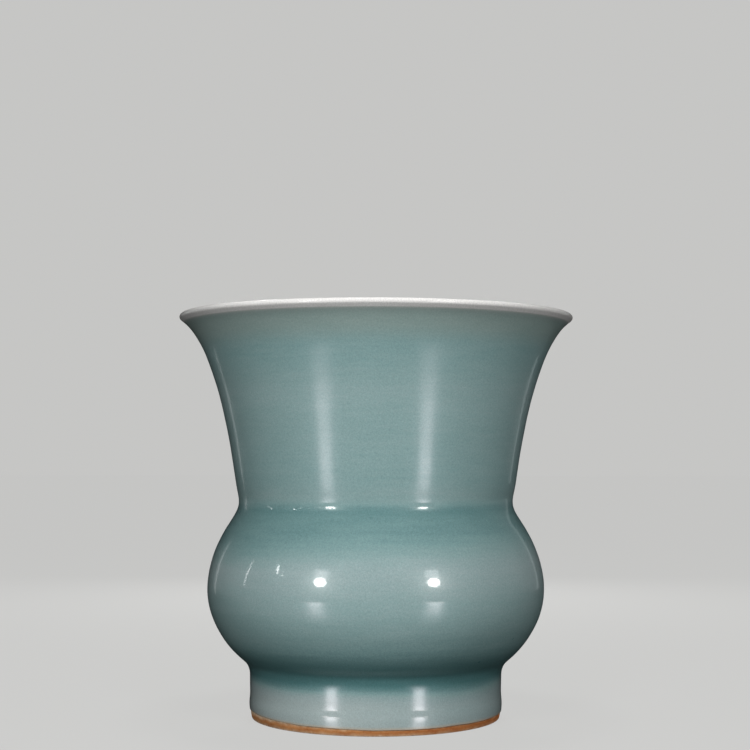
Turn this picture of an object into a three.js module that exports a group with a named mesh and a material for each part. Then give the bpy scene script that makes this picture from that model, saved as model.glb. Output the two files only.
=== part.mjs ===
// Zhadou: a wheel-thrown porcelain vessel with a trumpet neck, a globular belly and a straight
// foot ring, under a pale blue-green celadon glaze. Millimetres, +Z up, origin at the centre of
// the plane on which the foot ring rests.
//
// The vessel was made as separate clay sections (neck, belly with its floor, foot ring) that were
// luted together with slip, and then given three coats of glaze: outside, inside and under the
// foot. Each of those is a closed solid of its own here. All are turned about the same axis.
import * as THREE from 'three';

// ---- driving dimensions ---------------------------------------------------------------------
const HEIGHT = 240.0;            // resting plane to the top of the lip
const LIP_CENTRE_R = 116.74;     // centre of the rounded lip's section
const LIP_CENTRE_Z = 238.27;
const LIP_ROUND = HEIGHT - LIP_CENTRE_Z;   // radius of the rounded lip, glaze included

const WAIST_Z = 128.2;           // the crease between neck and belly, where the sections meet
const FOOT_JOINT_Z = 25.6;       // where the foot ring meets the belly

const FLOOR_TOP_Z = 32.6;        // clay floor inside the belly
const RESTING_OUTER_R = 73.3;    // flat ring that the vessel stands on
const RESTING_INNER_R = 68.4;
const FOOT_BEVEL_R = 73.8;       // the bare edge leans in from the glaze line to here
const FOOT_BEVEL_Z = 0.5;
const FOOT_INNER_R = 66.4;       // wall of the recess under the foot, at its mouth
const FOOT_INNER_TOP_R = 65.9;   // and at its ceiling
const FOOT_INNER_BEVEL_Z = 1.6;

const GLAZE_LINE_Z = 4.6;        // the outer glaze stops here and leaves the clay bare below it
const BASE_GLAZE_LINE_Z = 4.0;   // the glaze in the recess stops here
const BASE_GLAZE_T = 0.5;
const LIP_GLAZE_T = 0.25;        // the glaze runs thin over the lip
const SLIP_T = 0.7;              // thickness of the luting slip in a joint
const PARTING = 0.02;            // clearance between fused layers

const SEGMENTS = 40;

// Outer glazed surface, from the glaze line at the foot up to the lip:
// [height, radius, outer glaze, clay wall, inner glaze], thicknesses along the normal.
// A wall of 0 marks a station below the inside of the vessel.
const STATIONS = [
  [GLAZE_LINE_Z, 75.02, 0.50, 0, 0],
  [8.20, 75.30, 0.60, 0, 0],
  [23.70, 75.12, 0.90, 0, 0],
  [FOOT_JOINT_Z - SLIP_T / 2, 75.20, 1.00, 0, 0],
  [FOOT_JOINT_Z + SLIP_T / 2, 75.20, 1.00, 0, 0],
  [29.50, 75.86, 1.10, 0, 0],
  [33.36, 78.22, 1.00, 0, 0],
  [42.54, 87.58, 0.75, 5.9, 0.7],
  [51.72, 93.92, 0.65, 5.2, 0.6],
  [62.36, 98.58, 0.60, 4.9, 0.6],
  [72.51, 100.65, 0.60, 4.8, 0.6],
  [84.11, 100.25, 0.60, 4.8, 0.6],
  [97.17, 97.00, 0.55, 4.8, 0.6],
  [105.87, 93.32, 0.55, 4.8, 0.6],
  [120.85, 84.45, 0.90, 5.0, 0.6],
  [126.17, 82.43, 1.20, 5.2, 0.6],
  [WAIST_Z - SLIP_T / 2, 82.33, 1.25, 5.3, 0.6],
  [WAIST_Z + SLIP_T / 2, 82.33, 1.25, 5.3, 0.6],
  [131.00, 82.56, 1.10, 5.2, 0.6],
  [164.36, 88.18, 0.75, 4.7, 0.6],
  [190.46, 93.98, 0.70, 4.3, 0.6],
  [204.97, 98.50, 0.65, 4.0, 0.55],
  [215.60, 102.51, 0.60, 3.8, 0.5],
  [222.37, 105.78, 0.55, 3.6, 0.45],
  [229.62, 110.40, 0.45, 3.4, 0.4],
];

// Inside of the clay below the first walled station, from the axis outwards: [height, radius].
const FLOOR = [
  [FLOOR_TOP_Z, 0],
  [FLOOR_TOP_Z + 0.3, 44.0],
  [FLOOR_TOP_Z + 2.2, 63.0],
  [FLOOR_TOP_Z + 6.6, 74.0],
];
const FLOOR_GLAZE_T = 0.8;       // the inner glaze pools a little on the floor

// ---- profile helpers ------------------------------------------------------------------------
// A profile is a list of THREE.Vector2(radius, height). Walking up a wall, its outer side is on
// the right, so a positive offset moves a point to the left, into the wall.
const P = (r, z) => new THREE.Vector2(r, z);

function leftNormals(line, level) {
  return line.map((p, i) => {
    if (level.includes(i)) return P(-1, 0);
    const n = P(0, 0);
    let share = 0;
    const sides = [];
    if (i > 0) sides.push([line[i - 1], p]);
    if (i < line.length - 1) sides.push([p, line[i + 1]]);
    for (const [a, b] of sides) {
      const d = b.clone().sub(a).normalize();
      n.add(P(-d.y, d.x));
      share += 1;
    }
    n.divideScalar(share);
    return n.divideScalar(n.lengthSq());      // mitred, so each side moves by the full offset
  });
}

// level lists the points that move straight towards the axis, as those of the joints do.
function offset(line, amounts, level = []) {
  const n = leftNormals(line, level);
  return line.map((p, i) => p.clone().addScaledVector(n[i], amounts[i]));
}

// Points of the rounded lip, of radius r, at the given angles (degrees, 0 points outwards and
// 90 up), walking over the lip from the outside to the inside.
const LIP_OUT = [-45, -15, 15, 50];
const LIP_IN = [112, 135];
const lipArc = (r, angles) => angles.map((deg) => {
  const a = THREE.MathUtils.degToRad(deg);
  return P(LIP_CENTRE_R + r * Math.cos(a), LIP_CENTRE_Z + r * Math.sin(a));
});

const material = (color, roughness) =>
  new THREE.MeshStandardMaterial({ color, roughness, metalness: 0 });

function turned(name, points, mat) {
  const g = new THREE.LatheGeometry(points, SEGMENTS);
  g.rotateX(Math.PI / 2);                     // the lathe's axis, +Y, becomes +Z
  const mesh = new THREE.Mesh(g, mat);
  mesh.name = name;
  return mesh;
}

const closed = (points) => [...points, points[0].clone()];

// ---- the nested surfaces --------------------------------------------------------------------
const outer = STATIONS.map(([z, r]) => P(r, z));
const foot = STATIONS.findIndex((s) => s[0] === FOOT_JOINT_Z - SLIP_T / 2);    // top of the foot ring
const waist = STATIONS.findIndex((s) => s[0] === WAIST_Z - SLIP_T / 2);        // top of the belly
const joints = [foot, foot + 1, waist, waist + 1];
const first = STATIONS.findIndex((s) => s[3] > 0);                             // first walled station
const clayOuter = offset(outer, STATIONS.map((s) => s[2]), joints);
const glazeBack = offset(outer, STATIONS.map((s) => s[2] - PARTING), joints);
const clayInner = offset(outer, STATIONS.map((s) => s[2] + s[3]), joints).slice(first);
const innerThickness = STATIONS.slice(first).map((s) => s[4]);
const waistIn = waist - first;

// the clay lip, and the two glaze coats over it that meet at its crown
const CLAY_LIP = LIP_ROUND - LIP_GLAZE_T;
const clayLip = lipArc(CLAY_LIP, [...LIP_OUT, 90, ...LIP_IN]);
const crown = (r, side) => P(LIP_CENTRE_R + side * PARTING / 2,
  LIP_CENTRE_Z + Math.sqrt(r * r - (PARTING / 2) ** 2));

// ---- clay -----------------------------------------------------------------------------------
const clayMat = material(0xd9d6cf, 0.75);
const footMat = material(0xb07a4c, 0.85);
const slipMat = material(0xcfcac0, 0.8);

const neckSection = turned('neck_section', closed([
  ...clayOuter.slice(waist + 1), ...clayLip, ...clayInner.slice(waistIn + 1).reverse(),
]), clayMat);

const bellySection = turned('belly_section', [
  P(0, clayOuter[foot + 1].y), ...clayOuter.slice(foot + 1, waist + 1),
  ...clayInner.slice(0, waistIn + 1).reverse(), ...FLOOR.map(([z, r]) => P(r, z)).reverse(),
], clayMat);

const footRing = turned('foot_ring', closed([
  P(RESTING_OUTER_R, 0), P(FOOT_BEVEL_R, FOOT_BEVEL_Z), ...clayOuter.slice(0, foot + 1),
  P(FOOT_INNER_TOP_R, clayOuter[foot].y), P(FOOT_INNER_R, FOOT_INNER_BEVEL_Z), P(RESTING_INNER_R, 0),
]), footMat);

// ---- luting slip in the two joints ----------------------------------------------------------
const slipRing = (name, ri, ro, z0, z1) => turned(name, closed([
  P(ri, z0 + PARTING), P(ro, z0 + PARTING), P(ro, z1 - PARTING), P(ri, z1 - PARTING),
]), slipMat);
const waistSlip = slipRing('waist_luting_slip', clayInner[waistIn].x, clayOuter[waist].x,
  clayOuter[waist].y, clayOuter[waist + 1].y);
const footSlip = slipRing('foot_luting_slip', FOOT_INNER_TOP_R, clayOuter[foot].x,
  clayOuter[foot].y, clayOuter[foot + 1].y);

// ---- glaze coats ----------------------------------------------------------------------------
const glazeMat = material(0x86a7a7, 0.15);
const lipOut = lipArc(LIP_ROUND, LIP_OUT);
const lipBackOut = lipArc(CLAY_LIP + PARTING, LIP_OUT);
const exteriorGlaze = turned('exterior_glaze', closed([
  ...outer, ...lipOut, crown(LIP_ROUND, 1),
  crown(CLAY_LIP + PARTING, 1), ...lipBackOut.slice().reverse(), ...glazeBack.slice().reverse(),
]), glazeMat);

const inside = [...FLOOR.map(([z, r]) => P(r, z)), ...clayInner];
const insideJoints = [FLOOR.length + waistIn, FLOOR.length + waistIn + 1];
const insideT = [...FLOOR.map(() => FLOOR_GLAZE_T), ...innerThickness];
const insideBack = offset(inside, insideT.map(() => PARTING), insideJoints);
const insideFace = offset(inside, insideT, insideJoints);
insideBack[0].x = 0;
insideFace[0].x = 0;
const interiorGlaze = turned('interior_glaze', [
  ...insideBack,
  ...lipArc(CLAY_LIP + PARTING, LIP_IN).reverse(), crown(CLAY_LIP + PARTING, -1),
  crown(LIP_ROUND, -1), ...lipArc(LIP_ROUND, LIP_IN),
  ...insideFace.slice().reverse(),
], glazeMat);

const FOOT_TOP = clayOuter[foot].y;
const CEILING = clayOuter[foot + 1].y - PARTING;
const recessR = (z) => FOOT_INNER_R + (FOOT_INNER_TOP_R - FOOT_INNER_R)
  * (z - FOOT_INNER_BEVEL_Z) / (FOOT_TOP - FOOT_INNER_BEVEL_Z);
const baseGlaze = turned('base_glaze', [
  P(0, CEILING - BASE_GLAZE_T),
  P(FOOT_INNER_TOP_R - BASE_GLAZE_T - 1.5, CEILING - BASE_GLAZE_T),
  P(FOOT_INNER_TOP_R - BASE_GLAZE_T, CEILING - BASE_GLAZE_T - 1.5),
  P(recessR(BASE_GLAZE_LINE_Z) - BASE_GLAZE_T, BASE_GLAZE_LINE_Z),
  P(recessR(BASE_GLAZE_LINE_Z) - PARTING, BASE_GLAZE_LINE_Z),
  P(FOOT_INNER_TOP_R - PARTING, FOOT_TOP),
  P(FOOT_INNER_TOP_R - PARTING, CEILING),
  P(0, CEILING),
], glazeMat);

// ---- assembly -------------------------------------------------------------------------------
const zhadou = new THREE.Group();
zhadou.name = 'zhadou';
const body = new THREE.Group();
body.name = 'clay_body';
body.add(neckSection, waistSlip, bellySection, footSlip, footRing);
const glaze = new THREE.Group();
glaze.name = 'glaze';
glaze.add(exteriorGlaze, interiorGlaze, baseGlaze);
zhadou.add(body, glaze);

export default zhadou;
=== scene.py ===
"""Zhadou in pale blue-green celadon: smooth turned bodies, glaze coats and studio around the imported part.

Lengths in the profiles are millimetres, the scene is in metres. Z is up and the vessel stands on z = 0.
"""

import math

import bpy
import numpy as np
from mathutils import Matrix, Vector


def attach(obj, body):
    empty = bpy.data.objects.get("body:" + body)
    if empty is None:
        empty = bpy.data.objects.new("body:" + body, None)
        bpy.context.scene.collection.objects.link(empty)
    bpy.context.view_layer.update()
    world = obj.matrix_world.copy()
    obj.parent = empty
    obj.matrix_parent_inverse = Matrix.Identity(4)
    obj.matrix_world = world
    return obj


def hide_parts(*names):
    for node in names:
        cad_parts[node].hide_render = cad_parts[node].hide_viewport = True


MM = 0.001

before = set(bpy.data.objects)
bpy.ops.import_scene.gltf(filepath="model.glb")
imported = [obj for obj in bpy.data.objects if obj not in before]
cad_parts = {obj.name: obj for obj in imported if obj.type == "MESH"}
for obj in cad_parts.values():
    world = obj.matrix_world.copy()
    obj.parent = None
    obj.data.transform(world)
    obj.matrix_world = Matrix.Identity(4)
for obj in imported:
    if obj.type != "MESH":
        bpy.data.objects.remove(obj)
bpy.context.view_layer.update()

# ---- the vessel's section -------------------------------------------------------------------
# Outer glazed surface from the glaze line on the foot up to where the rounded lip begins: height, radius.
OUTLINE = np.array([
    (4.6, 75.08), (6.6, 75.28), (8.5, 75.375), (10.8, 75.27), (14.4, 74.99), (16.6, 74.985), (20, 75.063),
    (24.5, 75.145), (27.5, 75.365),
    (30, 76.084), (32.5, 77.451), (36, 81.095), (42, 87.1), (50, 92.874), (58, 96.991),
    (66, 99.566), (74, 100.681), (82, 100.449), (90, 99.056), (98, 96.673), (106, 93.204),
    (113, 89.322), (118.5, 85.815), (122.5, 83.598), (125.5, 82.55), (127.5, 82.324),
    (129.5, 82.373), (132, 82.744), (135.5, 83.475), (142, 84.567), (152, 86.083), (164, 88.135),
    (176, 90.544), (188, 93.356), (200, 96.838), (210, 100.316), (218, 103.561),
    (224.5, 107.02), (230, 110.65), (234, 114.19), (236.907, 117.645),
])
LIP_R, LIP_Z, LIP_ROUND, LIP_FROM = 116.58, 238.27, 1.73, -52.0  # the lip's section and where the wall meets it
LIP_GLAZE = 0.25
WAIST_Z, FOOT_JOINT_Z, SLIP_T = 128.2, 25.6, 0.7
GLAZE_LINE_Z, BASE_GLAZE_LINE_Z = 4.6, 4.0
BEAD = 0.3  # rounding of the glaze's lower edge
PARTING = 0.02

# Height on the outline, then thickness along the normal: outer glaze, all layers to the inner surface, inner glaze.
OUTER_GLAZE = [(4.6, 0.50), (8.2, 0.60), (23.7, 0.90), (25.6, 1.00), (29.5, 1.10), (33.4, 1.00), (42.5, 0.75),
               (51.7, 0.65), (62.4, 0.60), (84.1, 0.60), (97.2, 0.55), (105.9, 0.55), (120.8, 0.90),
               (126.2, 1.20), (128.2, 1.25), (131.0, 1.10), (140.0, 0.92), (164.4, 0.75), (190.5, 0.70),
               (205.0, 0.65), (215.6, 0.60), (222.4, 0.55), (229.6, 0.45), (236.907, LIP_GLAZE)]
WALL = [(42.5, 7.35), (51.7, 6.45), (62.4, 6.10), (72.5, 6.00), (84.1, 6.00), (97.2, 5.95), (105.9, 6.00),
        (120.8, 6.60), (126.2, 7.00), (128.2, 7.08), (131.0, 7.00), (140.0, 6.60), (164.4, 6.05), (190.5, 5.60),
        (205.0, 5.20), (215.6, 4.85), (222.4, 4.55), (229.6, 4.10), (236.907, 2 * LIP_ROUND)]
INNER_GLAZE = [(42.5, 0.70), (51.7, 0.60), (190.5, 0.60), (205.0, 0.55), (215.6, 0.50), (222.4, 0.45),
               (229.6, 0.38), (236.907, LIP_GLAZE)]
FLOOR = [(0, 32.6), (22, 32.65), (44, 32.9), (63, 34.8), (74, 39.2)]  # clay floor inside: radius, height
FLOOR_GLAZE = 0.8


def spline(xs, ys):
    """Natural cubic spline through the points, as a function."""
    xs, ys = np.asarray(xs, float), np.asarray(ys, float)
    n, h = len(xs), np.diff(xs)
    a, rhs = np.zeros((n, n)), np.zeros(n)
    a[0, 0] = a[-1, -1] = 1
    for i in range(1, n - 1):
        a[i, i - 1 : i + 2] = h[i - 1], 2 * (h[i - 1] + h[i]), h[i]
        rhs[i] = 6 * ((ys[i + 1] - ys[i]) / h[i] - (ys[i] - ys[i - 1]) / h[i - 1])
    m = np.linalg.solve(a, rhs)

    def value(x):
        x = np.asarray(x, float)
        i = np.clip(np.searchsorted(xs, x) - 1, 0, n - 2)
        t = x - xs[i]
        b = (ys[i + 1] - ys[i]) / h[i] - h[i] * (2 * m[i] + m[i + 1]) / 6
        return ys[i] + t * (b + t * (m[i] / 2 + t * (m[i + 1] - m[i]) / (6 * h[i])))

    return value


outline = spline(*OUTLINE.T)
outer_glaze = spline(*zip(*OUTER_GLAZE))
wall = spline(*zip(*WALL))
inner_glaze = lambda z: np.interp(z, *zip(*INNER_GLAZE))


def offset(z, amount):
    """Points (radius, height) that lie amount inside the outline at the heights z."""
    z = np.asarray(z, float)
    slope = (outline(z + 0.01) - outline(z - 0.01)) / 0.02
    n = np.hypot(1, slope)
    return np.stack([outline(z) - amount / n, z + amount * slope / n], 1)


def lip(radius, start, end, steps):
    a = np.radians(np.linspace(start, end, steps))
    return np.stack([LIP_R + radius * np.cos(a), LIP_Z + radius * np.sin(a)], 1)


def stations(low, high, step):
    """Heights from low to high, closer together in the creases and towards the lip."""
    out, z = [low], low
    while True:
        tight = min(abs(z - 127), abs(z - 30) / 1.3)
        z += step * (0.45 if tight < 6 or z > 226 else 0.7 if tight < 12 else 1.0)
        if z > high - 0.3 * step:
            return np.array(out + [high])
        out.append(z)


def smooth_path(points, step):
    """A smooth curve through (radius, height) points, sampled about every step."""
    points = np.asarray(points, float)
    s = np.concatenate([[0], np.cumsum(np.hypot(*np.diff(points, axis=0).T))])
    t = np.linspace(0, s[-1], int(s[-1] / step) + 1)
    return np.stack([spline(s, points[:, 0])(t), spline(s, points[:, 1])(t)], 1)


def arc(cr, cz, radius, start, end, steps):
    a = np.radians(np.linspace(start, end, steps))
    return np.stack([cr + radius * np.cos(a), cz + radius * np.sin(a)], 1)


# ---- how the real pot strays from the ideal section -------------------------------------------
def smooth(x):
    x = np.clip(x, 0, 1)
    return x * x * (3 - 2 * x)


def line_wave(t):
    """How far the lower edge of the glaze wanders up and down round the foot."""
    return (-0.36 - 0.57 * np.cos(t) + 0.52 * np.cos(2 * t) + 0.10 * np.sin(3 * t + 3.6) + 0.10 * np.sin(7 * t + 2.0)
            + 0.06 * np.sin(13 * t + 1.0) + 0.04 * np.sin(23 * t + 4.0))


def thrown(r, z, t, inside, edge):
    """Moves points of the ideal section (mm) to where the thrown and fired pot has them. inside is 1 on surfaces
    that only the potter's fingers shaped, edge is 1 where the glaze's lower edge carries the point along."""
    up = smooth((z - 90) / 150)
    wall_part = smooth((z - 6) / 14) * smooth((237 - z) / 8)
    oval = r * up * (0.0011 * np.cos(2 * t - 0.7) + 0.0004 * np.cos(3 * t + 1.1))
    turning = wall_part * (0.028 * np.sin(2 * math.pi * z / 27 + t + 0.4) + 0.010 * np.sin(2 * math.pi * z / 11.3 - t)
                           + 0.004 * np.sin(2 * math.pi * z / 5.1 + 2 * t + 1.0))
    rings = inside * smooth((z - 42) / 16) * smooth((226 - z) / 24)
    fingers = rings * (0.17 * np.sin(2 * math.pi * z / 9.6 + t) + 0.06 * np.sin(2 * math.pi * z / 23 - t + 2.0))
    disc = inside * smooth((46 - z) / 8) * smooth((r - 4) / 12) * smooth((76 - r) / 10)
    spiral = disc * 0.11 * np.sin(2 * math.pi * r / 9.5 - t)
    r2 = r + oval + (1 - inside) * turning + fingers
    tilt = smooth((z - 128) / 112)
    z2 = (z + tilt * (0.07 * np.cos(2 * t + 0.4) - 0.10 * np.cos(2 * t) - 0.0014 * r * np.cos(t) - 0.18) + spiral
          + edge * line_wave(t))
    return r2, z2


def turned(name, section, closed, segments, depth=None, inside=0.0, edge=0.0, material=None, node=None):
    """Turns a section (radius, height in mm) about the axis into a mesh that rides on the part. A point on the axis
    becomes one vertex. depth gives the glaze's depth from the height and the angle; for the outer coat it also holds
    painted shade."""
    section = np.asarray(section, float)
    n = len(section)
    inside = np.broadcast_to(np.asarray(inside, float), (n,))
    edge = np.broadcast_to(np.asarray(edge, float), (n,))
    theta = np.arange(segments) * 2 * math.pi / segments
    verts, first, pole = [], [], []
    for (r, z), a, e in zip(section, inside, edge):
        first.append(sum(len(v) for v in verts))
        if r < 1e-6:
            verts.append(np.array([[0, 0, thrown(np.zeros(1), np.full(1, z), np.zeros(1), a, 0)[1][0]]]))
            pole.append(True)
        else:
            r2, z2 = thrown(np.full(segments, r), np.full(segments, z), theta, a, e)
            verts.append(np.stack([r2 * np.cos(theta), r2 * np.sin(theta), z2], 1))
            pole.append(False)
    count = [len(v) for v in verts]
    faces = []
    pairs = list(zip(range(n - 1), range(1, n))) + ([(n - 1, 0)] if closed else [])
    k = np.arange(segments)
    k1 = (k + 1) % segments
    for i, j in pairs:
        if pole[i] and pole[j]:
            continue
        if pole[i]:
            faces += [(first[i], first[j] + a, first[j] + b) for a, b in zip(k1, k)]
        elif pole[j]:
            faces += [(first[i] + a, first[i] + b, first[j]) for a, b in zip(k, k1)]
        else:
            faces += [(first[i] + a, first[i] + b, first[j] + b, first[j] + a) for a, b in zip(k, k1)]
    mesh = bpy.data.meshes.new(name)
    mesh.from_pydata((np.concatenate(verts) * MM).tolist(), [], [tuple(int(x) for x in f) for f in faces])
    mesh.shade_smooth()
    if depth is not None:
        values = np.concatenate([depth(np.full(c, z), theta[:c]) for (_, z), c in zip(section, count)])
        mesh.attributes.new("glaze_depth_and_shade", "FLOAT", "POINT").data.foreach_set("value", values.astype(np.float32))
        # all at the lower end, and a trace of it under the lip
        ends = lambda z: smooth((5.5 - z) / 0.9) + 0.18 * smooth((z - 216) / 12) * smooth((235.6 - z) / 0.8)
        values = np.concatenate([np.full(c, ends(z)) for (_, z), c in zip(section, count)])
        mesh.attributes.new("glaze_end", "FLOAT", "POINT").data.foreach_set("value", values.astype(np.float32))
    mesh.validate()
    ob = bpy.data.objects.new(name, mesh)
    bpy.context.scene.collection.objects.link(ob)
    mesh.materials.append(material)
    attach(ob, "root")
    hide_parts(node)
    return ob


# ---- materials ------------------------------------------------------------------------------
class Nodes:
    """Short ways to add and join shader nodes."""

    def __init__(self, name):
        self.material = bpy.data.materials.new(name)
        self.material.use_nodes = True
        self.tree = self.material.node_tree
        self.shader = self.tree.nodes["Principled BSDF"]
        self.x = -300

    def add(self, kind, values=(), **settings):
        node = self.tree.nodes.new(kind)
        node.location = (self.x, 300)
        self.x -= 160
        for key, value in settings.items():
            setattr(node, key, value)
        for key, value in dict(values).items():
            if isinstance(value, bpy.types.NodeSocket):
                self.tree.links.new(value, node.inputs[key])
            else:
                node.inputs[key].default_value = value
        return node

    def link(self, socket, name):
        self.tree.links.new(socket, self.shader.inputs[name])

    def set(self, **values):
        for key, value in values.items():
            self.shader.inputs[key.replace("_", " ")].default_value = value

    def object_place(self, scale=(1, 1, 1)):
        place = self.add("ShaderNodeTexCoord").outputs["Object"]
        return self.add("ShaderNodeMapping", {"Vector": place, "Scale": scale}).outputs["Vector"]

    def noise(self, vector, scale, detail=3.0, rough=0.5):
        return self.add("ShaderNodeTexNoise", {"Vector": vector, "Scale": scale, "Detail": detail,
                                               "Roughness": rough}).outputs["Fac"]

    def math(self, operation, a, b=0.0, c=0.0):
        return self.add("ShaderNodeMath", {0: a, 1: b, 2: c}, operation=operation).outputs["Value"]

    def mix(self, factor, a, b, blend="MIX"):
        return self.add("ShaderNodeMix", {0: factor, 6: a, 7: b}, data_type="RGBA", blend_type=blend).outputs[2]

    def ramp(self, factor, stops, smooth=False):
        node = self.add("ShaderNodeValToRGB", {"Fac": factor})
        node.color_ramp.interpolation = "B_SPLINE" if smooth else "LINEAR"
        while len(node.color_ramp.elements) > 1:
            node.color_ramp.elements.remove(node.color_ramp.elements[-1])
        for i, (at, colour) in enumerate(stops):
            e = node.color_ramp.elements[0] if i == 0 else node.color_ramp.elements.new(at)
            e.position = at
            e.color = (*colour, 1)
        return node.outputs["Color"]


# Colour of the glaze by its depth over the white body: bare white, thin, pale, normal, pooled, deep.
GLAZE_BY_DEPTH = [
    (0.00, (0.85, 0.835, 0.815)),
    (0.12, (0.71, 0.71, 0.695)),
    (0.30, (0.444, 0.524, 0.518)),
    (0.47, (0.325, 0.434, 0.437)),
    (0.56, (0.268, 0.400, 0.398)),
    (0.66, (0.213, 0.352, 0.353)),
    (0.75, (0.157, 0.287, 0.290)),
    (1.00, (0.087, 0.210, 0.215)),
]


def glaze_material():
    m = Nodes("celadon_glaze")
    place = m.object_place()
    flat = m.object_place((1, 1, 3.2))  # features drawn out round the pot, as turning leaves them
    # glaze depth; on the outer coat it also carries painted shade in the crease above the foot and on the left shoulder
    depth = m.add("ShaderNodeAttribute", attribute_name="glaze_depth_and_shade").outputs["Fac"]
    cloud = m.noise(flat, 14.0, 3.0, 0.5)
    mottle = m.noise(place, 850.0, 2.0, 0.6)
    drift = m.noise(m.object_place((1, 1, 9)), 40.0, 2.0, 0.5)
    # the thinner the glaze, the less its depth varies
    swing = m.math("MINIMUM", m.math("MULTIPLY", depth, 1.6), 1.0)
    vary = m.math("ADD", m.math("MULTIPLY_ADD", cloud, 0.10, -0.05),
                  m.math("ADD", m.math("MULTIPLY_ADD", mottle, 0.16, -0.08), m.math("MULTIPLY_ADD", drift, 0.11, -0.055)))
    depth = m.math("MULTIPLY_ADD", vary, swing, depth)
    body = m.ramp(depth, GLAZE_BY_DEPTH)
    # fine bubbles scatter more or less light, whatever the depth
    specks = m.ramp(m.noise(place, 1400.0, 2.0, 0.7), [(0.30, (0.87, 0.87, 0.87)), (0.5, (1, 1, 1)), (0.70, (1.13, 1.13, 1.13))])
    body = m.mix(1.0, body, specks, "MULTIPLY")
    # where the glaze ends on the foot the flashed clay shows through it
    end = m.add("ShaderNodeAttribute", attribute_name="glaze_end").outputs["Fac"]
    m.link(m.mix(m.math("MULTIPLY", end, 0.75), body, (0.56, 0.42, 0.27, 1)), "Base Color")
    # slightly uneven melt: the smooth skin above, fine bubbles below it
    peel = m.noise(place, 260.0, 2.0, 0.5)
    bubbles = m.noise(place, 1400.0, 1.0, 0.5)
    rings = m.noise(m.object_place((0.06, 0.06, 1)), 900.0, 2.0, 0.5)  # fine lines left by turning
    skin = m.add("ShaderNodeBump", {"Strength": 0.5, "Distance": 0.000013, "Height": peel}).outputs["Normal"]
    skin = m.add("ShaderNodeBump", {"Strength": 0.5, "Distance": 0.00001, "Height": rings, "Normal": skin}).outputs["Normal"]
    under = m.add("ShaderNodeBump", {"Strength": 0.8, "Distance": 0.00007, "Height": bubbles, "Normal": skin})
    m.link(skin, "Coat Normal")
    m.link(under.outputs["Normal"], "Normal")
    rough = m.math("MULTIPLY_ADD", m.noise(place, 90.0, 2.0, 0.5), 0.10, 0.25)
    m.link(rough, "Roughness")
    # glossiest on the foot
    height = m.add("ShaderNodeSeparateXYZ", {"Vector": place}).outputs["Z"]
    coat = m.add("ShaderNodeMapRange", {"Value": height, 1: 0.024, 2: 0.034, 3: 1.0, 4: 0.55}).outputs["Result"]
    m.link(coat, "Coat Weight")
    m.set(IOR=1.5, Specular_IOR_Level=0.3, Coat_Roughness=0.07, Coat_IOR=1.54)
    return m.material


def clay_material(name, colour_stops, speckle, rough):
    m = Nodes(name)
    place = m.object_place()
    grain = m.noise(place, 900.0, 3.0, 0.7)
    patch = m.noise(place, 45.0, 3.0, 0.6)
    mix = m.math("ADD", m.math("MULTIPLY", grain, speckle), m.math("MULTIPLY", patch, 1 - speckle))
    m.link(m.ramp(mix, colour_stops), "Base Color")
    m.link(m.math("MULTIPLY_ADD", patch, 0.1, rough), "Roughness")
    bump = m.add("ShaderNodeBump", {"Strength": 0.6, "Distance": 0.0001, "Height": grain})
    m.link(bump.outputs["Normal"], "Normal")
    m.set(IOR=1.45, Specular_IOR_Level=0.3)
    return m.material


def foot_material():
    """Bare clay of the foot, flashed orange-brown in the kiln: darkest along the glaze, paler at the resting edge and
    on the left, where highlights are painted in.
    """
    m = Nodes("flashed_foot")
    place = m.object_place()
    xyz = m.add("ShaderNodeSeparateXYZ", {"Vector": place})
    height = xyz.outputs["Z"]
    grain = m.noise(place, 800.0, 3.0, 0.7)
    patch = m.noise(m.object_place((1, 1, 2.4)), 120.0, 4.0, 0.65)
    wander = m.noise(place, 220.0, 2.0, 0.5)
    # height in the bare edge, 0 at the resting plane and 1 at the glaze, with a wandering border
    up = m.math("MULTIPLY_ADD", height, 1 / 0.0052, 0.0)
    up = m.math("ADD", up, m.math("MULTIPLY_ADD", wander, 0.5, -0.25))
    # the pale colour at the resting plane paints in a highlight along the bottom edge
    body = m.ramp(up, [(0.0, (0.68, 0.46, 0.30)), (0.16, (0.54, 0.29, 0.14)), (0.42, (0.49, 0.190, 0.055)),
                       (0.62, (0.56, 0.260, 0.105)), (0.85, (0.72, 0.50, 0.30))])
    tone = m.ramp(m.math("MULTIPLY_ADD", grain, 0.35, m.math("MULTIPLY", patch, 0.65)),
                  [(0.33, (0.76, 0.58, 0.50)), (0.50, (1.0, 1.0, 1.0)), (0.68, (1.26, 1.32, 1.40))])
    body = m.mix(1.0, body, tone, "MULTIPLY")
    # paler on the left, a painted highlight; redder on the right, where it is flashed more strongly
    across = m.math("MULTIPLY_ADD", xyz.outputs["X"], 1 / 0.148, 0.5)
    side = m.ramp(across, [(0.05, (1.06, 1.14, 1.26)), (0.5, (1.0, 1.0, 1.0)), (0.85, (1.03, 0.87, 0.78))])
    m.link(m.mix(1.0, body, side, "MULTIPLY"), "Base Color")
    m.link(m.math("MULTIPLY_ADD", patch, 0.15, 0.68), "Roughness")
    bump = m.add("ShaderNodeBump", {"Strength": 0.7, "Distance": 0.00012, "Height": grain})
    m.link(bump.outputs["Normal"], "Normal")
    m.set(IOR=1.45, Specular_IOR_Level=0.3)
    return m.material


glaze = glaze_material()
clay = clay_material("porcelain_body", [(0.3, (0.62, 0.60, 0.56)), (0.7, (0.78, 0.76, 0.72))], 0.4, 0.7)
slip = clay_material("luting_slip", [(0.3, (0.55, 0.53, 0.49)), (0.7, (0.70, 0.68, 0.63))], 0.5, 0.75)
flashed = foot_material()
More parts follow.
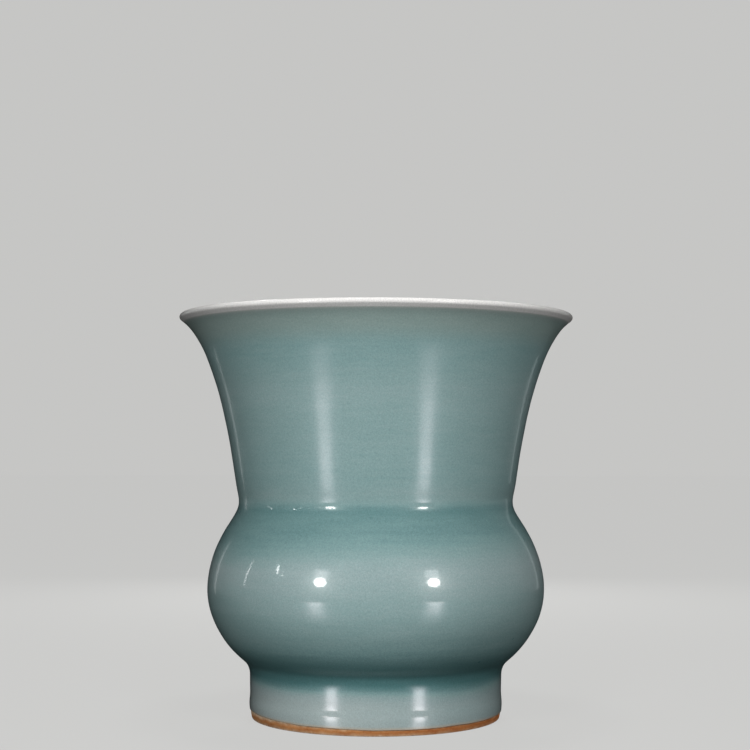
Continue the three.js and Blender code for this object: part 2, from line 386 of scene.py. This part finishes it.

# ---- the pieces -----------------------------------------------------------------------------
# Depth of the outer glaze by height: it runs off the lip, pools in the crease and at the top of the foot. From 34 to 42
# mm it is set deeper than the pooling alone, as painted shade in the crease under the belly.
OUTER_DEPTH_AND_SHADE = [(4.6, 0.26), (5.2, 0.33), (8, 0.335), (12, 0.34), (16, 0.35), (18, 0.375), (20, 0.42), (22, 0.52),
               (24, 0.69), (26, 0.90), (28, 1.00), (30, 1.00), (34, 0.98), (38, 0.92), (42, 0.77), (46, 0.68),
               (50, 0.63), (58, 0.59), (63, 0.57), (68, 0.545), (74, 0.53), (80, 0.50), (86, 0.485), (93, 0.47),
               (98, 0.50), (103, 0.575), (108, 0.655), (113, 0.71), (118, 0.72), (121, 0.735), (124.5, 0.81),
               (126.5, 0.73), (128.5, 0.63), (131, 0.56), (135, 0.56), (140, 0.60), (148, 0.595), (156, 0.585),
               (165, 0.58), (174, 0.57), (183, 0.555), (192, 0.55), (200, 0.575), (207, 0.603), (213, 0.615),
               (219, 0.60), (224, 0.605), (228, 0.595), (231.5, 0.58), (233.6, 0.55), (234.6, 0.44), (235.1, 0.22),
               (235.5, 0.05), (236.2, 0.02), (240, 0.01)]


def outer_depth_and_shade(z, t):
    """The pooled glaze hangs lower in four places round the foot. On the left shoulder the glaze is set deeper and
    darker, which is painted shade. The foot's thin glaze is thicker on the right."""
    sag = -0.35 - 0.6 * np.cos(4 * t + 0.35) - 0.4 * np.cos(2 * t) + 0.1 * np.cos(t)
    sag = sag * smooth((z - 6) / 8) * smooth((34 - z) / 10)
    # painted shade: the left shoulder reads the glaze deeper, so it comes out darker
    shoulder = 6.5 * smooth((z - 84) / 12) * smooth((120 - z) / 10) * np.clip(np.cos(t + 2.58), 0, 1) ** 4
    right = 0.075 * smooth((z - 4.8) / 2) * smooth((25 - z) / 5) * np.clip(np.cos(t + 0.72), 0, 1) ** 3
    return np.interp(z + sag + shoulder, *zip(*OUTER_DEPTH_AND_SHADE)) + right


def inner_depth(z, t):
    return np.interp(z, [33, 36, 42, 60, 120, 134, 150, 205, 225, 233, 237, 239.6],
                     [0.66, 0.64, 0.62, 0.56, 0.55, 0.52, 0.56, 0.58, 0.52, 0.42, 0.16, 0.04])


def base_depth(z, t):
    return np.interp(z, [4.0, 4.6, 8, 18, 23, 24.4, 24.8, 26], [0.30, 0.42, 0.46, 0.54, 0.66, 0.56, 0.52, 0.52])



# outer coat: from its rounded lower edge, up the outside and over the lip to the crown, and back underneath
bead_r = outline(GLAZE_LINE_Z + BEAD) - BEAD
bead = arc(bead_r, GLAZE_LINE_Z + BEAD, BEAD, -90, 0, 6)[:-1]
face_z = stations(GLAZE_LINE_Z + BEAD, OUTLINE[-1, 0], 1.25)
face = np.concatenate([bead, offset(face_z, 0), lip(LIP_ROUND, LIP_FROM, 90, 18)[1:]])
back_z = face_z[::4][1:]
back = np.concatenate([offset(back_z, outer_glaze(back_z) - PARTING), lip(LIP_ROUND - LIP_GLAZE + PARTING, LIP_FROM, 90, 8)])
section = np.concatenate([face, back[::-1]])
edge = np.clip((13 - section[:, 1]) / 8.4, 0, 1) ** 2
turned("glaze_coat_outside", section, True, 256, depth=outer_depth_and_shade, edge=edge,
       material=glaze, node="exterior_glaze")

# inner surfaces: floor and wall as one smooth curve
wall_z = np.concatenate([np.arange(46, 122, 8.0), np.arange(122, 136, 3.5), np.arange(136, 226, 9.0), [228, 233]])
top = OUTLINE[-1:, 0]


def inner_curve(floor_up, amount):
    floor = [(r, z + floor_up) for r, z in FLOOR]
    return np.concatenate([smooth_path([*floor, *offset(wall_z, amount(wall_z)), *offset(top, amount(top))], 1.4)])


inner_face = inner_curve(FLOOR_GLAZE, wall)
inner_back = inner_curve(PARTING, lambda z: wall(z) - inner_glaze(z) + PARTING)
clay_inside = inner_curve(0.0, lambda z: wall(z) - inner_glaze(z))
for curve in (inner_face, inner_back, clay_inside):
    curve[0, 0] = 0.0
face = np.concatenate([inner_face, lip(LIP_ROUND, 180 + LIP_FROM, 90, 8)[1:]])
back = np.concatenate([inner_back[::3], lip(LIP_ROUND - LIP_GLAZE + PARTING, 180 + LIP_FROM, 90, 6)])
section = np.concatenate([face, back[::-1]])
turned("glaze_coat_inside", section, False, 256, depth=inner_depth, inside=1.0,
       material=glaze, node="interior_glaze")

# clay of the neck, with the lip
low, high = WAIST_Z - SLIP_T / 2, WAIST_Z + SLIP_T / 2
z = np.concatenate([[high], stations(high, OUTLINE[-1, 0], 3.0)[1:]])
outside = offset(z, outer_glaze(z))
outside[0, 1] = high
inside = clay_inside[clay_inside[:, 1] > high]
inside = np.concatenate([[[np.interp(high, clay_inside[60:, 1], clay_inside[60:, 0]), high]], inside])[::2]
section = np.concatenate([outside, lip(LIP_ROUND - LIP_GLAZE, LIP_FROM, 180 + LIP_FROM, 14)[1:-1], inside[::-1]])
turned("clay_neck", section, True, 160, inside=np.arange(len(section)) >= len(outside) + 10,
       material=clay, node="neck_section")

# clay of the belly, with the floor
z = stations(FOOT_JOINT_Z + SLIP_T / 2, low, 3.0)
outside = offset(z, outer_glaze(z))
outside[0, 1], outside[-1, 1] = z[0], z[-1]
inside = clay_inside[clay_inside[:, 1] < low]
inside = np.concatenate([inside[::2], [[np.interp(low, clay_inside[60:, 1], clay_inside[60:, 0]), low]]])
section = np.concatenate([[[0, z[0]]], outside, inside[::-1]])
turned("clay_belly", section, False, 160, inside=np.arange(len(section)) > len(outside),
       material=clay, node="belly_section")

# slip in the two joints
ri, ro = np.interp(WAIST_Z, clay_inside[60:, 1], clay_inside[60:, 0]), offset([WAIST_Z], outer_glaze(WAIST_Z))[0, 0]
ring = lambda ri, ro, z0, z1: np.array([(ri, z0), (ro, z0), (ro, z1), (ri, z1)])
turned("slip_at_waist", ring(ri + 0.3, ro - 0.1, low + PARTING, high - PARTING), True, 160,
       material=slip, node="waist_luting_slip")
ro = offset([FOOT_JOINT_Z], outer_glaze(FOOT_JOINT_Z))[0, 0]
turned("slip_at_foot", ring(65.9, ro - 0.1, FOOT_JOINT_Z - SLIP_T / 2 + PARTING, FOOT_JOINT_Z + SLIP_T / 2 - PARTING),
       True, 160, material=slip, node="foot_luting_slip")

# foot ring: bare resting edge with small bevels, then the clay under the glaze, then the recess
z = stations(GLAZE_LINE_Z - 0.1, FOOT_JOINT_Z - SLIP_T / 2, 2.0)
under = offset(z, outer_glaze(np.maximum(z, GLAZE_LINE_Z)))
under[-1, 1] = z[-1]
bare = [(73.95, 0.55), (74.10, 1.4), (74.28, 2.4), (74.45, 3.5)]
section = np.concatenate([
    [(69.4, 0.04), (70.2, 0.0), (71.4, 0.0), (72.6, 0.0)], arc(73.25, 0.62, 0.62, -90, -8, 6), bare[1:], under,
    [(65.9, z[-1])], [(66.0, 20.0), (66.2, 12.0), (66.35, 5.0), (66.45, 2.4)], arc(68.2, 1.75, 1.72, 175, 262, 7),
])
turned("clay_foot", section, True, 256, material=flashed, node="foot_ring")

# glaze under the foot: the shallow dome of the base, a soft corner, and down the wall of the recess
ceiling = FOOT_JOINT_Z + SLIP_T / 2 - PARTING
face = smooth_path([(0, 24.4), (18, 24.5), (36, 24.8), (50, 25.15), (58, 25.2), (62.5, 24.6), (64.7, 22.3), (65.35, 18.0),
                    (65.55, 12.0), (65.7, 7.0), (65.78, BASE_GLAZE_LINE_Z + 0.5)], 1.2)
face[0, 0] = 0.0
bead = arc(65.78 + 0.4, BASE_GLAZE_LINE_Z + 0.5, 0.4, 180, 270, 5)[1:]
back = np.array([(66.2, 6.0), (66.15, 12.0), (65.98, 20.0), (65.88, 25.2), (65.88, ceiling), (50.0, ceiling),
                 (25.0, ceiling), (0.0, ceiling)])
section = np.concatenate([face, bead, back])
edge = 0.5 * np.clip((11 - section[:, 1]) / 7, 0, 1) ** 2
turned("glaze_coat_base", section[::-1], False, 192, depth=base_depth, edge=edge[::-1],
       material=glaze, node="base_glaze")

# ---- studio ---------------------------------------------------------------------------------
scene = bpy.context.scene
scene.view_settings.view_transform = "Standard"
scene.view_settings.look = "None"

BACKDROP = (0.60, 0.60, 0.59)


def seen_only(ob, camera=False, diffuse=False, glossy=False, shadow=False):
    ob.visible_camera, ob.visible_diffuse, ob.visible_glossy, ob.visible_shadow = camera, diffuse, glossy, shadow
    ob.visible_transmission = ob.visible_volume_scatter = False


def lamp(name, place, target, size, watts, diffuse=True, glossy=True, colour=(1, 1, 1), shape="RECTANGLE"):
    light = bpy.data.lights.new(name, "AREA")
    light.shape, light.size, light.size_y, light.energy, light.color = shape, *size, watts, colour
    ob = bpy.data.objects.new(name, light)
    ob.location = place
    ob.rotation_euler = (Vector(target) - Vector(place)).to_track_quat("-Z", "Y").to_euler()
    ob.visible_camera, ob.visible_diffuse, ob.visible_glossy = False, diffuse, glossy
    scene.collection.objects.link(ob)
    return ob


# soft light on the front, with a little from the sides and from below, and as much again on the back
for side, key, fill in ((-1, 3.08, 0.74), (1, 2.86, 1.72)):
    lamp("front_light", (side * 0.26, -0.735, 0.56), (0, 0, 0.12), (0.22, 0.22), key, glossy=False)
    lamp("low_side_light", (side * 0.767, 0.443, -0.02), (0, 0, 0.12), (0.2, 0.038), fill, glossy=False)
    lamp("back_light", (side * 0.06, 1.0, 0.45), (0, 0, 0.12), (0.25, 0.25), 3.1, glossy=False)
lamp("low_front_light", (-0.09, -0.55, -0.02), (0, 0, 0.07), (0.08, 0.036), 0.585, glossy=False)
lamp("light_over_the_mouth", (0, 0, 1.45), (0, 0, 0), (0.2, 0.2), 6.0, glossy=False)

# two small oval softboxes mirrored in the glaze, each with a dimmer patch above it, and two more for the back
for side, place in ((-1, (-0.682, -0.928)), (1, (0.700, -0.905))):
    aim = (side * 0.03, -0.09, 0.09)
    lamp("softbox", (*place, 0.355), aim, (0.162, 0.142), 3.2, diffuse=False, colour=(1, 0.985, 0.96), shape="ELLIPSE")
    lamp("softbox_top", (*place, 0.515), aim, (0.19, 0.18), 0.66, diffuse=False, colour=(0.97, 0.98, 1))
    lamp("softbox_behind", (side * 0.15, 1.10, 0.40), (0, 0.09, 0.09), (0.12, 0.165), 2.0, diffuse=False, shape="ELLIPSE")


def glow(name, a, b, low, high, up, across, widen=0.0, colour=(1, 1, 1)):
    """An upright panel from a to b on the ground plan that only reflections see. up holds its brightness by share of
    the height from below, across by share of the width from a. widen spreads it towards the bottom."""
    a, b = Vector((*a, 0)), Vector((*b, 0))
    w, h = (b - a).length / 2, (high - low) / 2
    mesh = bpy.data.meshes.new(name)
    mesh.from_pydata([(-w, 0, -h), (w, 0, -h), (w, 0, h), (-w, 0, h)], [], [(0, 1, 2, 3)])
    ob = bpy.data.objects.new(name, mesh)
    ob.location = (a + b) / 2 + Vector((0, 0, (low + high) / 2))
    ob.rotation_euler = (0, 0, math.atan2(b.y - a.y, b.x - a.x))
    scene.collection.objects.link(ob)
    mat = bpy.data.materials.new(name)
    mat.use_nodes = True
    nodes, links = mat.node_tree.nodes, mat.node_tree.links
    nodes.clear()

    def node(kind, *inputs, **settings):
        n = nodes.new(kind)
        for key, value in settings.items():
            setattr(n, key, value)
        for socket, value in zip(n.inputs, inputs):
            if isinstance(value, bpy.types.NodeSocket):
                links.new(value, socket)
            else:
                socket.default_value = value
        return n

    def curve(value, stops):
        top = max(v for _, v in stops)
        n = node("ShaderNodeFloatCurve", 1.0, value)
        points = n.mapping.curves[0].points
        points[0].location, points[1].location = (stops[0][0], stops[0][1] / top), (stops[-1][0], stops[-1][1] / top)
        for at, v in stops[1:-1]:
            points.new(at, v / top)
        for p in points:
            p.handle_type = "AUTO_CLAMPED"
        n.mapping.update()
        return node("ShaderNodeMath", n.outputs[0], top, operation="MULTIPLY").outputs[0]

    place = node("ShaderNodeSeparateXYZ", node("ShaderNodeTexCoord").outputs["Generated"])
    x, z = place.outputs["X"], place.outputs["Z"]
    spread = node("ShaderNodeMath", node("ShaderNodeMath", 1.0, z, operation="SUBTRACT").outputs[0], widen, 1.0,
                  operation="MULTIPLY_ADD").outputs[0]
    x = node("ShaderNodeMath", node("ShaderNodeMath", x, 0.5, operation="SUBTRACT").outputs[0], spread, operation="DIVIDE")
    x = node("ShaderNodeMath", x.outputs[0], 0.5, operation="ADD", use_clamp=True).outputs[0]
    strength = node("ShaderNodeMath", curve(z, up), curve(x, across), operation="MULTIPLY").outputs[0]
    emit = node("ShaderNodeEmission", (*colour, 1), strength)
    node("ShaderNodeOutputMaterial", emit.outputs[0])
    mesh.materials.append(mat)
    seen_only(ob, glossy=True)
    return ob


def bearing(degrees, distance):
    """A point on the ground plan, by its bearing from the front: positive to the right."""
    t = math.radians(degrees)
    return distance * math.sin(t), -distance * math.cos(t)


BELL = [(0, 0), (0.12, 0.01), (0.24, 0.12), (0.32, 0.42), (0.40, 0.83), (0.5, 1.0), (0.60, 0.83), (0.68, 0.42), (0.76, 0.12),
        (0.88, 0.01), (1, 0)]

# two more below, bright at the top, then wider and fainter
for degrees, share in ((-38.4, 1.18), (38.0, 1.22)):
    ends = [bearing(degrees + d, 1.13) for d in (-12.5, 12.5)]
    glow("low_glow", *ends, -0.745, -0.047,
         [(0, 0.08), (0.18, 0.50 * share), (0.26, 0.85 * share), (0.37, 1.2 * share), (0.465, 1.75 * share),
          (0.58, 2.75 * share), (0.66, 3.3 * share), (0.74, 4.1 * share), (0.82, 5.3 * share), (0.90, 7.4 * share),
          (1, 8.8 * share)], BELL, widen=0.85, colour=(1, 0.95, 1))
    glow("low_edge", *[bearing(degrees + d, 1.12) for d in (-8, 8)], -0.047, -0.038, [(0, 13.0), (1, 13.0)],
         [(0, 0), (0.15, 0.8), (0.5, 1), (0.85, 0.8), (1, 0)], colour=(1, 0.88, 0.88))

# pale walls beside and behind, in the rims of the reflections
glow("wall_left", bearing(-85, 1.5), bearing(-138.9, 1.5), -0.012, 0.48, [(0, 0.38), (0.7, 0.36), (1, 0.12)],
     [(0, 0), (0.3, 0.28), (0.84, 0.34), (0.92, 0.95), (1, 1)], colour=(0.90, 1, 1))
glow("wall_right", bearing(85, 1.5), bearing(140.6, 1.5), -0.012, 0.85, [(0, 0.52), (0.75, 0.47), (1, 0.16)],
     [(0, 0), (0.3, 0.22), (0.87, 0.28), (0.95, 0.95), (1, 1)], colour=(0.90, 1, 1))


def slip_of_light(name, a, b, width, strength):
    """A slim bright slip from a to b, each a bearing and a height at 1.3 m, that only reflections see."""
    a, b = (Vector((*bearing(degrees, 1.3), z)) for degrees, z in (a, b))
    middle = (a + b) / 2
    side = (b - a).cross(Vector((0, 0, 0.09)) - middle).normalized() * width / 2
    mesh = bpy.data.meshes.new(name)
    mesh.from_pydata([a - side * 0.3, a + side * 0.3, middle + side, b + side * 0.3, b - side * 0.3, middle - side], [],
                     [(0, 1, 2, 5), (5, 2, 3, 4)])
    ob = bpy.data.objects.new(name, mesh)
    scene.collection.objects.link(ob)
    mat = bpy.data.materials.new(name)
    mat.use_nodes = True
    nodes = mat.node_tree.nodes
    nodes.clear()
    emit = nodes.new("ShaderNodeEmission")
    emit.inputs["Strength"].default_value = strength
    mat.node_tree.links.new(emit.outputs[0], nodes.new("ShaderNodeOutputMaterial").inputs[0])
    mesh.materials.append(mat)
    seen_only(ob, glossy=True)


# slim lights far to the left
slip_of_light("strip_left", (-71.0, 0.640), (-69.4, 0.470), 0.052, 22.0)
slip_of_light("strip_left_foot", (-66.6, 0.458), (-62.8, 0.425), 0.024, 12.0)
slip_of_light("strip_beside", (-94.9, 0.58), (-95.5, 0.165), 0.026, 11.0)
slip_of_light("wall_left_edge", (-134.2, 0.45), (-134.9, -0.05), 0.034, 1.6)

# floor: pale to the camera, dark to the light that it would throw back up
floor_mesh = bpy.data.meshes.new("floor")
n, far = 96, 14.0
floor_mesh.from_pydata([(0, 0, 0)] + [(far * math.cos(2 * math.pi * i / n), far * math.sin(2 * math.pi * i / n), 0) for i in range(n)],
                       [], [(0, i + 1, (i + 1) % n + 1) for i in range(n)])
floor = bpy.data.objects.new("floor", floor_mesh)
floor.location = (0, 0, -0.0002)
scene.collection.objects.link(floor)
mat = bpy.data.materials.new("floor")
mat.use_nodes = True
nodes, links = mat.node_tree.nodes, mat.node_tree.links
nodes.clear()
out, add = nodes.new("ShaderNodeOutputMaterial"), nodes.new("ShaderNodeAddShader")
paper, veil = nodes.new("ShaderNodeBsdfDiffuse"), nodes.new("ShaderNodeEmission")
paper.inputs["Color"].default_value = (0.06, 0.06, 0.059, 1)
veil.inputs["Color"].default_value = (*BACKDROP, 1)
veil.inputs["Strength"].default_value = 0.93
links.new(paper.outputs[0], add.inputs[0])
links.new(veil.outputs[0], add.inputs[1])
links.new(add.outputs[0], out.inputs[0])
floor_mesh.materials.append(mat)
seen_only(floor, camera=True)

bounce_mesh = floor_mesh.copy()
bounce = bpy.data.objects.new("floor_bounce", bounce_mesh)
bounce.location = (0, 0, -0.0004)
scene.collection.objects.link(bounce)
mat = bpy.data.materials.new("floor_bounce")
mat.use_nodes = True
mat.node_tree.nodes["Principled BSDF"].inputs["Base Color"].default_value = (0.06, 0.06, 0.06, 1)
mat.node_tree.nodes["Principled BSDF"].inputs["Specular IOR Level"].default_value = 0.0
bounce_mesh.materials.clear()
bounce_mesh.materials.append(mat)
seen_only(bounce, diffuse=True)

# world: pale behind the vessel, dim for the light that it gives
world = bpy.data.worlds.new("studio")
scene.world = world
world.use_nodes = True
nodes, links = world.node_tree.nodes, world.node_tree.links
nodes.clear()
out, mix, path = nodes.new("ShaderNodeOutputWorld"), nodes.new("ShaderNodeMixShader"), nodes.new("ShaderNodeLightPath")
dim, pale = nodes.new("ShaderNodeBackground"), nodes.new("ShaderNodeBackground")
dim.inputs["Color"].default_value = (1, 1, 1, 1)
dim.inputs["Strength"].default_value = 0.008
pale.inputs["Color"].default_value = (*BACKDROP, 1)
pale.inputs["Strength"].default_value = 0.94
links.new(path.outputs["Is Camera Ray"], mix.inputs[0])
links.new(dim.outputs[0], mix.inputs[1])
links.new(pale.outputs[0], mix.inputs[2])
links.new(mix.outputs[0], out.inputs[0])

# ---- camera ---------------------------------------------------------------------------------
lens = bpy.data.cameras.new("camera")
lens.sensor_width, lens.lens = 36.0, 76.872
lens.clip_start, lens.clip_end = 0.01, 60.0
camera = bpy.data.objects.new("camera", lens)
camera.matrix_world = (Matrix.Translation((-0.000575, -0.9687, 0.1535))
                       @ Matrix.Rotation(math.radians(93.0), 4, "X")
                       @ Matrix.Rotation(math.radians(0.07), 4, "Z"))
scene.collection.objects.link(camera)
scene.camera = camera
